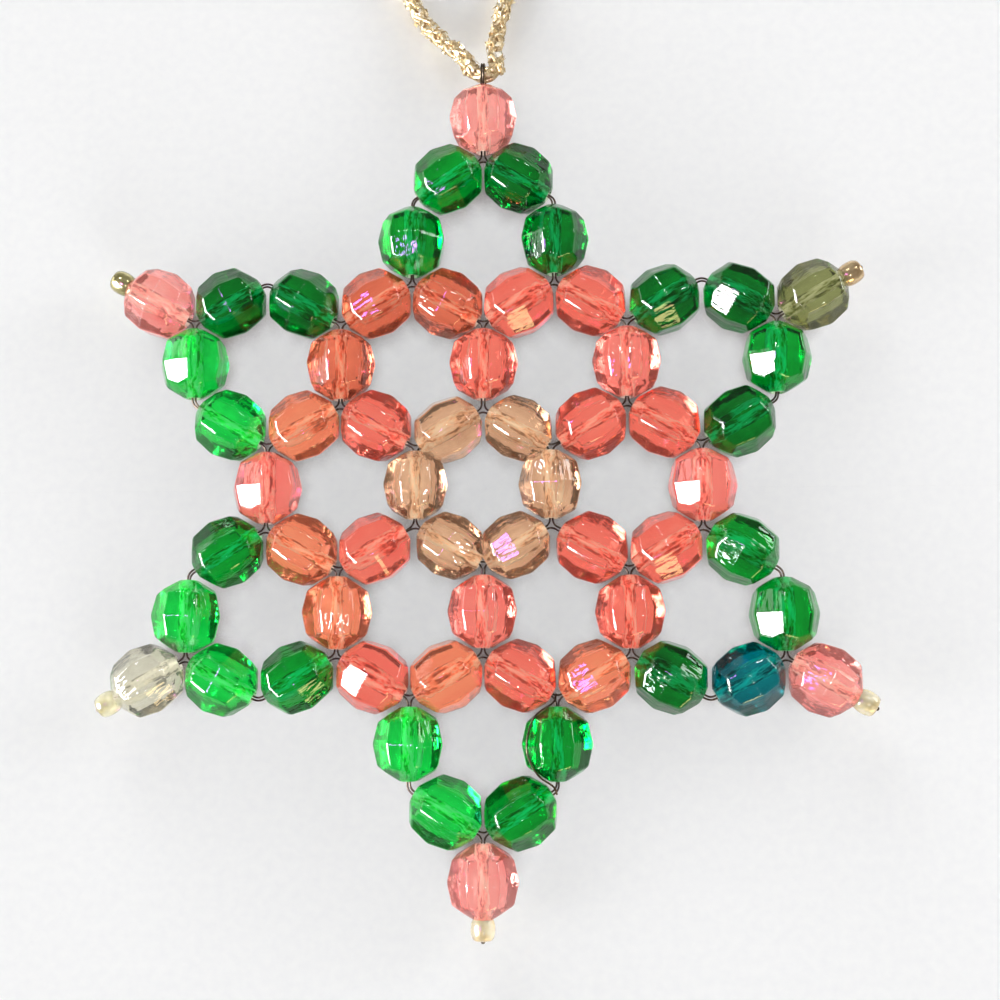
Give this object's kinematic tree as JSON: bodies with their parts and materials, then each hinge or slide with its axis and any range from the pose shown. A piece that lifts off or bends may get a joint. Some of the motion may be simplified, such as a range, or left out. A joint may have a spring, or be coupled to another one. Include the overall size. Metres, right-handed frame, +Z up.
{
  "type": "beaded star ornament",
  "caption": "Star-shaped hanging ornament of faceted see-through beads strung on wire in hexagonal cells, with a loop of metallic cord.",
  "frame": {"origin": "on the surface that the star lies on, below the middle of the star's box, the cord left out", "axes": "+Y from the star's middle to the tip that carries the cord, +X to the right of it, +Z up, square to the star"},
  "size_m": [0.0892, 0.1603, 0.008],
  "materials": {
    "coral_bead": "coral acrylic with a pearly coat",
    "amber_bead": "brown-orange acrylic with a pearly coat",
    "green_bead": "clear green acrylic, polished facets",
    "deep_green_bead": "dark green acrylic, polished facets",
    "rose_bead": "pale rose acrylic with a pearly coat",
    "pink_bead": "pink-coral acrylic with a pearly coat",
    "olive_bead": "pale olive acrylic, polished facets",
    "teal_bead": "blue-green acrylic, polished facets",
    "orange_bead": "orange acrylic with a pearly coat",
    "bright_green_bead": "light green acrylic, polished facets",
    "clear_bead": "colourless acrylic with a pearly coat",
    "champagne_bead": "champagne acrylic with a pearly coat",
    "dark_wire": "thin dark craft wire",
    "gold_cord": "braided metallic thread with glitter"
  },
  "bodies": {
    "strung_wire_and_ring": {"stringing_wire": "dark_wire", "ring_bead_pair_1": "champagne_bead", "ring_bead_pair_2": "champagne_bead", "ring_bead_pair_3": "champagne_bead"},
    "top_spoke_bead": {"top_spoke_bead": "coral_bead"},
    "top_outer_bead_left": {"top_outer_bead_left": "amber_bead"},
    "top_arm_bead_left_low": {"top_arm_bead_left_low": "green_bead"},
    "top_arm_bead_left_high": {"top_arm_bead_left_high": "green_bead"},
    "top_outer_bead_right": {"top_outer_bead_right": "coral_bead"},
    "top_arm_bead_right_low": {"top_arm_bead_right_low": "deep_green_bead"},
    "top_arm_bead_right_high": {"top_arm_bead_right_high": "deep_green_bead"},
    "top_corner_bead": {"top_corner_bead": "coral_bead"},
    "top_tip_bead": {"top_tip_bead": "rose_bead"},
    "upper_right_spoke_bead": {"upper_right_spoke_bead": "coral_bead"},
    "upper_right_outer_bead_left": {"upper_right_outer_bead_left": "pink_bead"},
    "upper_right_arm_bead_left_low": {"upper_right_arm_bead_left_low": "deep_green_bead"},
    "upper_right_arm_bead_left_high": {"upper_right_arm_bead_left_high": "deep_green_bead"},
    "upper_right_outer_bead_right": {"upper_right_outer_bead_right": "coral_bead"},
    "upper_right_arm_bead_right_low": {"upper_right_arm_bead_right_low": "deep_green_bead"},
    "upper_right_arm_bead_right_high": {"upper_right_arm_bead_right_high": "green_bead"},
    "upper_right_corner_bead": {"upper_right_corner_bead": "pink_bead"},
    "upper_right_tip_bead_with_stopper": {"upper_right_tip_bead_with_stopper": "olive_bead"},
    "lower_right_spoke_bead": {"lower_right_spoke_bead": "coral_bead"},
    "lower_right_outer_bead_left": {"lower_right_outer_bead_left": "coral_bead"},
    "lower_right_arm_bead_left_low": {"lower_right_arm_bead_left_low": "green_bead"},
    "lower_right_arm_bead_left_high": {"lower_right_arm_bead_left_high": "green_bead"},
    "lower_right_outer_bead_right": {"lower_right_outer_bead_right": "coral_bead"},
    "lower_right_arm_bead_right_low": {"lower_right_arm_bead_right_low": "deep_green_bead"},
    "lower_right_arm_bead_right_high": {"lower_right_arm_bead_right_high": "teal_bead"},
    "lower_right_corner_bead": {"lower_right_corner_bead": "orange_bead"},
    "lower_right_tip_bead_with_stopper": {"lower_right_tip_bead_with_stopper": "rose_bead"},
    "bottom_spoke_bead": {"bottom_spoke_bead": "pink_bead"},
    "bottom_outer_bead_left": {"bottom_outer_bead_left": "coral_bead"},
    "bottom_arm_bead_left_low": {"bottom_arm_bead_left_low": "green_bead"},
    "bottom_arm_bead_left_high": {"bottom_arm_bead_left_high": "green_bead"},
    "bottom_outer_bead_right": {"bottom_outer_bead_right": "orange_bead"},
    "bottom_arm_bead_right_low": {"bottom_arm_bead_right_low": "bright_green_bead"},
    "bottom_arm_bead_right_high": {"bottom_arm_bead_right_high": "bright_green_bead"},
    "bottom_corner_bead": {"bottom_corner_bead": "coral_bead"},
    "bottom_tip_bead_with_stopper": {"bottom_tip_bead_with_stopper": "rose_bead"},
    "lower_left_spoke_bead": {"lower_left_spoke_bead": "coral_bead"},
    "lower_left_outer_bead_left": {"lower_left_outer_bead_left": "orange_bead"},
    "lower_left_arm_bead_left_low": {"lower_left_arm_bead_left_low": "green_bead"},
    "lower_left_arm_bead_left_high": {"lower_left_arm_bead_left_high": "bright_green_bead"},
    "lower_left_outer_bead_right": {"lower_left_outer_bead_right": "orange_bead"},
    "lower_left_arm_bead_right_low": {"lower_left_arm_bead_right_low": "green_bead"},
    "lower_left_arm_bead_right_high": {"lower_left_arm_bead_right_high": "bright_green_bead"},
    "lower_left_corner_bead": {"lower_left_corner_bead": "pink_bead"},
    "lower_left_tip_bead_with_stopper": {"lower_left_tip_bead_with_stopper": "clear_bead"},
    "upper_left_spoke_bead": {"upper_left_spoke_bead": "coral_bead"},
    "upper_left_outer_bead_left": {"upper_left_outer_bead_left": "orange_bead"},
    "upper_left_arm_bead_left_low": {"upper_left_arm_bead_left_low": "bright_green_bead"},
    "upper_left_arm_bead_left_high": {"upper_left_arm_bead_left_high": "bright_green_bead"},
    "upper_left_outer_bead_right": {"upper_left_outer_bead_right": "amber_bead"},
    "upper_left_arm_bead_right_low": {"upper_left_arm_bead_right_low": "deep_green_bead"},
    "upper_left_arm_bead_right_high": {"upper_left_arm_bead_right_high": "deep_green_bead"},
    "upper_left_corner_bead": {"upper_left_corner_bead": "amber_bead"},
    "upper_left_tip_bead_with_stopper": {"upper_left_tip_bead_with_stopper": "rose_bead"},
    "hanging_loop": {"hanging_cord": "gold_cord"}
  },
  "joints": [
    {"name": "top_spoke_bead_spin", "type": "hinge", "parent": "strung_wire_and_ring", "child": "top_spoke_bead", "pos_m": [0, 0.01417, 0.00378], "axis": [0, 1, 0], "continuous": true},
    {"name": "top_outer_bead_left_spin", "type": "hinge", "parent": "strung_wire_and_ring", "child": "top_outer_bead_left", "pos_m": [-0.00421, 0.02155, 0.00378], "axis": [-0.8607, 0.5091, 0], "continuous": true},
    {"name": "top_arm_bead_left_low_spin", "type": "hinge", "parent": "strung_wire_and_ring", "child": "top_arm_bead_left_low", "pos_m": [-0.00842, 0.02915, 0.00378], "axis": [0, 1, 0], "continuous": true},
    {"name": "top_arm_bead_left_high_spin", "type": "hinge", "parent": "strung_wire_and_ring", "child": "top_arm_bead_left_high", "pos_m": [-0.00421, 0.03678, 0.00378], "axis": [0.8572, 0.515, 0], "continuous": true},
    {"name": "top_outer_bead_right_spin", "type": "hinge", "parent": "strung_wire_and_ring", "child": "top_outer_bead_right", "pos_m": [0.00421, 0.02155, 0.00378], "axis": [0.8607, 0.5091, 0], "continuous": true},
    {"name": "top_arm_bead_right_low_spin", "type": "hinge", "parent": "strung_wire_and_ring", "child": "top_arm_bead_right_low", "pos_m": [0.00842, 0.02915, 0.00378], "axis": [0, 1, 0], "continuous": true},
    {"name": "top_arm_bead_right_high_spin", "type": "hinge", "parent": "strung_wire_and_ring", "child": "top_arm_bead_right_high", "pos_m": [0.00421, 0.03678, 0.00378], "axis": [-0.8572, 0.515, 0], "continuous": true},
    {"name": "top_corner_bead_spin", "type": "hinge", "parent": "strung_wire_and_ring", "child": "top_corner_bead", "pos_m": [0.01265, 0.02159, 0.00378], "axis": [0.866, -0.5, 0], "continuous": true},
    {"name": "top_tip_bead_spin", "type": "hinge", "parent": "strung_wire_and_ring", "child": "top_tip_bead", "pos_m": [0, 0.0443, 0.00378], "axis": [0, 1, 0], "continuous": true},
    {"name": "upper_right_spoke_bead_spin", "type": "hinge", "parent": "strung_wire_and_ring", "child": "upper_right_spoke_bead", "pos_m": [0.01255, 0.00692, 0.00378], "axis": [0.866, 0.5, 0], "continuous": true},
    {"name": "upper_right_outer_bead_left_spin", "type": "hinge", "parent": "strung_wire_and_ring", "child": "upper_right_outer_bead_left", "pos_m": [0.01683, 0.01426, 0.00378], "axis": [0.0105, 0.9999, 0], "continuous": true},
    {"name": "upper_right_arm_bead_left_low_spin", "type": "hinge", "parent": "strung_wire_and_ring", "child": "upper_right_arm_bead_left_low", "pos_m": [0.02131, 0.0217, 0.00378], "axis": [0.866, 0.5, 0], "continuous": true},
    {"name": "upper_right_arm_bead_left_high_spin", "type": "hinge", "parent": "strung_wire_and_ring", "child": "upper_right_arm_bead_left_high", "pos_m": [0.03003, 0.02188, 0.00378], "axis": [0.8746, -0.4849, 0], "continuous": true},
    {"name": "upper_right_outer_bead_right_spin", "type": "hinge", "parent": "strung_wire_and_ring", "child": "upper_right_outer_bead_right", "pos_m": [0.02104, 0.00697, 0.00378], "axis": [0.8712, -0.4908, 0], "continuous": true},
    {"name": "upper_right_arm_bead_right_low_spin", "type": "hinge", "parent": "strung_wire_and_ring", "child": "upper_right_arm_bead_right_low", "pos_m": [0.02973, 0.00712, 0.00378], "axis": [0.866, 0.5, 0], "continuous": true},
    {"name": "upper_right_arm_bead_right_high_spin", "type": "hinge", "parent": "strung_wire_and_ring", "child": "upper_right_arm_bead_right_high", "pos_m": [0.03424, 0.01459, 0.00378], "axis": [0.0174, 0.9998, 0], "continuous": true},
    {"name": "upper_right_corner_bead_spin", "type": "hinge", "parent": "strung_wire_and_ring", "child": "upper_right_corner_bead", "pos_m": [0.0253, -0.00032, 0.00378], "axis": [0, -1, 0], "continuous": true},
    {"name": "upper_right_tip_bead_spin", "type": "hinge", "parent": "strung_wire_and_ring", "child": "upper_right_tip_bead_with_stopper", "pos_m": [0.03864, 0.02199, 0.00378], "axis": [0.866, 0.5, 0], "continuous": true},
    {"name": "lower_right_spoke_bead_spin", "type": "hinge", "parent": "strung_wire_and_ring", "child": "lower_right_spoke_bead", "pos_m": [0.01255, -0.00756, 0.00378], "axis": [0.866, -0.5, 0], "continuous": true},
    {"name": "lower_right_outer_bead_left_spin", "type": "hinge", "parent": "strung_wire_and_ring", "child": "lower_right_outer_bead_left", "pos_m": [0.02104, -0.00761, 0.00378], "axis": [0.8712, 0.4908, 0], "continuous": true},
    {"name": "lower_right_arm_bead_left_low_spin", "type": "hinge", "parent": "strung_wire_and_ring", "child": "lower_right_arm_bead_left_low", "pos_m": [0.02973, -0.00776, 0.00378], "axis": [0.866, -0.5, 0], "continuous": true},
    {"name": "lower_right_arm_bead_left_high_spin", "type": "hinge", "parent": "strung_wire_and_ring", "child": "lower_right_arm_bead_left_high", "pos_m": [0.03424, -0.01523, 0.00378], "axis": [0.0174, -0.9998, 0], "continuous": true},
    {"name": "lower_right_outer_bead_right_spin", "type": "hinge", "parent": "strung_wire_and_ring", "child": "lower_right_outer_bead_right", "pos_m": [0.01683, -0.0149, 0.00378], "axis": [0.0105, -0.9999, 0], "continuous": true},
    {"name": "lower_right_arm_bead_right_low_spin", "type": "hinge", "parent": "strung_wire_and_ring", "child": "lower_right_arm_bead_right_low", "pos_m": [0.02131, -0.02234, 0.00378], "axis": [0.866, -0.5, 0], "continuous": true},
    {"name": "lower_right_arm_bead_right_high_spin", "type": "hinge", "parent": "strung_wire_and_ring", "child": "lower_right_arm_bead_right_high", "pos_m": [0.03003, -0.02252, 0.00378], "axis": [0.8746, 0.4849, 0], "continuous": true},
    {"name": "lower_right_corner_bead_spin", "type": "hinge", "parent": "strung_wire_and_ring", "child": "lower_right_corner_bead", "pos_m": [0.01265, -0.02223, 0.00378], "axis": [-0.866, -0.5, 0], "continuous": true},
    {"name": "lower_right_tip_bead_spin", "type": "hinge", "parent": "strung_wire_and_ring", "child": "lower_right_tip_bead_with_stopper", "pos_m": [0.03864, -0.02263, 0.00378], "axis": [0.866, -0.5, 0], "continuous": true},
    {"name": "bottom_spoke_bead_spin", "type": "hinge", "parent": "strung_wire_and_ring", "child": "bottom_spoke_bead", "pos_m": [0, -0.01481, 0.00378], "axis": [0, -1, 0], "continuous": true},
    {"name": "bottom_outer_bead_left_spin", "type": "hinge", "parent": "strung_wire_and_ring", "child": "bottom_outer_bead_left", "pos_m": [0.00421, -0.02219, 0.00378], "axis": [0.8607, -0.5091, 0], "continuous": true},
    {"name": "bottom_arm_bead_left_low_spin", "type": "hinge", "parent": "strung_wire_and_ring", "child": "bottom_arm_bead_left_low", "pos_m": [0.00842, -0.02979, 0.00378], "axis": [0, -1, 0], "continuous": true},
    {"name": "bottom_arm_bead_left_high_spin", "type": "hinge", "parent": "strung_wire_and_ring", "child": "bottom_arm_bead_left_high", "pos_m": [0.00421, -0.03743, 0.00378], "axis": [-0.8572, -0.515, 0], "continuous": true},
    {"name": "bottom_outer_bead_right_spin", "type": "hinge", "parent": "strung_wire_and_ring", "child": "bottom_outer_bead_right", "pos_m": [-0.00421, -0.02219, 0.00378], "axis": [-0.8607, -0.5091, 0], "continuous": true},
    {"name": "bottom_arm_bead_right_low_spin", "type": "hinge", "parent": "strung_wire_and_ring", "child": "bottom_arm_bead_right_low", "pos_m": [-0.00842, -0.02979, 0.00378], "axis": [0, -1, 0], "continuous": true},
    {"name": "bottom_arm_bead_right_high_spin", "type": "hinge", "parent": "strung_wire_and_ring", "child": "bottom_arm_bead_right_high", "pos_m": [-0.00421, -0.03743, 0.00378], "axis": [0.8572, -0.515, 0], "continuous": true},
    {"name": "bottom_corner_bead_spin", "type": "hinge", "parent": "strung_wire_and_ring", "child": "bottom_corner_bead", "pos_m": [-0.01265, -0.02223, 0.00378], "axis": [-0.866, 0.5, 0], "continuous": true},
    {"name": "bottom_tip_bead_spin", "type": "hinge", "parent": "strung_wire_and_ring", "child": "bottom_tip_bead_with_stopper", "pos_m": [0, -0.04494, 0.00378], "axis": [0, -1, 0], "continuous": true},
    {"name": "lower_left_spoke_bead_spin", "type": "hinge", "parent": "strung_wire_and_ring", "child": "lower_left_spoke_bead", "pos_m": [-0.01255, -0.00756, 0.00378], "axis": [-0.866, -0.5, 0], "continuous": true},
    {"name": "lower_left_outer_bead_left_spin", "type": "hinge", "parent": "strung_wire_and_ring", "child": "lower_left_outer_bead_left", "pos_m": [-0.01683, -0.0149, 0.00378], "axis": [-0.0105, -0.9999, 0], "continuous": true},
    {"name": "lower_left_arm_bead_left_low_spin", "type": "hinge", "parent": "strung_wire_and_ring", "child": "lower_left_arm_bead_left_low", "pos_m": [-0.02131, -0.02234, 0.00378], "axis": [-0.866, -0.5, 0], "continuous": true},
    {"name": "lower_left_arm_bead_left_high_spin", "type": "hinge", "parent": "strung_wire_and_ring", "child": "lower_left_arm_bead_left_high", "pos_m": [-0.03003, -0.02252, 0.00378], "axis": [-0.8746, 0.4849, 0], "continuous": true},
    {"name": "lower_left_outer_bead_right_spin", "type": "hinge", "parent": "strung_wire_and_ring", "child": "lower_left_outer_bead_right", "pos_m": [-0.02104, -0.00761, 0.00378], "axis": [-0.8712, 0.4908, 0], "continuous": true},
    {"name": "lower_left_arm_bead_right_low_spin", "type": "hinge", "parent": "strung_wire_and_ring", "child": "lower_left_arm_bead_right_low", "pos_m": [-0.02973, -0.00776, 0.00378], "axis": [-0.866, -0.5, 0], "continuous": true},
    {"name": "lower_left_arm_bead_right_high_spin", "type": "hinge", "parent": "strung_wire_and_ring", "child": "lower_left_arm_bead_right_high", "pos_m": [-0.03424, -0.01523, 0.00378], "axis": [-0.0174, -0.9998, 0], "continuous": true},
    {"name": "lower_left_corner_bead_spin", "type": "hinge", "parent": "strung_wire_and_ring", "child": "lower_left_corner_bead", "pos_m": [-0.0253, -0.00032, 0.00378], "axis": [0, 1, 0], "continuous": true},
    {"name": "lower_left_tip_bead_spin", "type": "hinge", "parent": "strung_wire_and_ring", "child": "lower_left_tip_bead_with_stopper", "pos_m": [-0.03864, -0.02263, 0.00378], "axis": [-0.866, -0.5, 0], "continuous": true},
    {"name": "upper_left_spoke_bead_spin", "type": "hinge", "parent": "strung_wire_and_ring", "child": "upper_left_spoke_bead", "pos_m": [-0.01255, 0.00692, 0.00378], "axis": [-0.866, 0.5, 0], "continuous": true},
    {"name": "upper_left_outer_bead_left_spin", "type": "hinge", "parent": "strung_wire_and_ring", "child": "upper_left_outer_bead_left", "pos_m": [-0.02104, 0.00697, 0.00378], "axis": [-0.8712, -0.4908, 0], "continuous": true},
    {"name": "upper_left_arm_bead_left_low_spin", "type": "hinge", "parent": "strung_wire_and_ring", "child": "upper_left_arm_bead_left_low", "pos_m": [-0.02973, 0.00712, 0.00378], "axis": [-0.866, 0.5, 0], "continuous": true},
    {"name": "upper_left_arm_bead_left_high_spin", "type": "hinge", "parent": "strung_wire_and_ring", "child": "upper_left_arm_bead_left_high", "pos_m": [-0.03424, 0.01459, 0.00378], "axis": [-0.0174, 0.9998, 0], "continuous": true},
    {"name": "upper_left_outer_bead_right_spin", "type": "hinge", "parent": "strung_wire_and_ring", "child": "upper_left_outer_bead_right", "pos_m": [-0.01683, 0.01426, 0.00378], "axis": [-0.0105, 0.9999, 0], "continuous": true},
    {"name": "upper_left_arm_bead_right_low_spin", "type": "hinge", "parent": "strung_wire_and_ring", "child": "upper_left_arm_bead_right_low", "pos_m": [-0.02131, 0.0217, 0.00378], "axis": [-0.866, 0.5, 0], "continuous": true},
    {"name": "upper_left_arm_bead_right_high_spin", "type": "hinge", "parent": "strung_wire_and_ring", "child": "upper_left_arm_bead_right_high", "pos_m": [-0.03003, 0.02188, 0.00378], "axis": [-0.8746, -0.4849, 0], "continuous": true},
    {"name": "upper_left_corner_bead_spin", "type": "hinge", "parent": "strung_wire_and_ring", "child": "upper_left_corner_bead", "pos_m": [-0.01265, 0.02159, 0.00378], "axis": [0.866, 0.5, 0], "continuous": true},
    {"name": "upper_left_tip_bead_spin", "type": "hinge", "parent": "strung_wire_and_ring", "child": "upper_left_tip_bead_with_stopper", "pos_m": [-0.03864, 0.02199, 0.00378], "axis": [-0.866, 0.5, 0], "continuous": true},
    {"name": "hanging_loop_swing", "type": "hinge", "parent": "strung_wire_and_ring", "child": "hanging_loop", "pos_m": [0, 0.0501, 0.00378], "axis": [1, 0, 0], "range_deg": [0, 120]}
  ]
}
